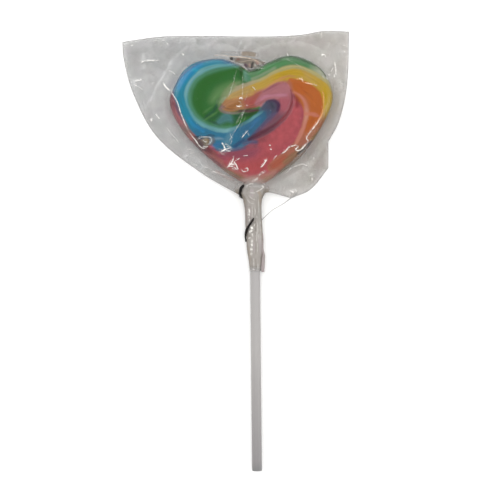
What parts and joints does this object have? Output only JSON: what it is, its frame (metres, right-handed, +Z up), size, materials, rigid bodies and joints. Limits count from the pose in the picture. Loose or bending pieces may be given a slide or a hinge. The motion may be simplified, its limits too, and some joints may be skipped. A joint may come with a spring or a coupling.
{
  "type": "heart lollipop",
  "caption": "Flat heart-shaped boiled sweet with a folded rainbow swirl on a straight plastic stick, in a clear film bag gathered and tied round the stick.",
  "frame": {"origin": "on the surface that the bagged sweet lies on, below the middle of the candy heart, on the stick's centre line", "axes": "+Y from the stick towards the top of the heart, +Z up out of the shown face, +X to the right of the shown face"},
  "size_m": [0.0774, 0.1494, 0.0071],
  "materials": {
    "boiled_sugar": "smooth glossy boiled sugar in rainbow bands",
    "stick_plastic": "extruded satin white polypropylene",
    "clear_film": "clear crinkled glossy film",
    "dark_tie": "dark brown plastic-coated wire"
  },
  "bodies": {
    "root": {"candy_heart": "boiled_sugar", "stick": "stick_plastic", "bag": "clear_film", "tie": "dark_tie"}
  },
  "joints": []
}
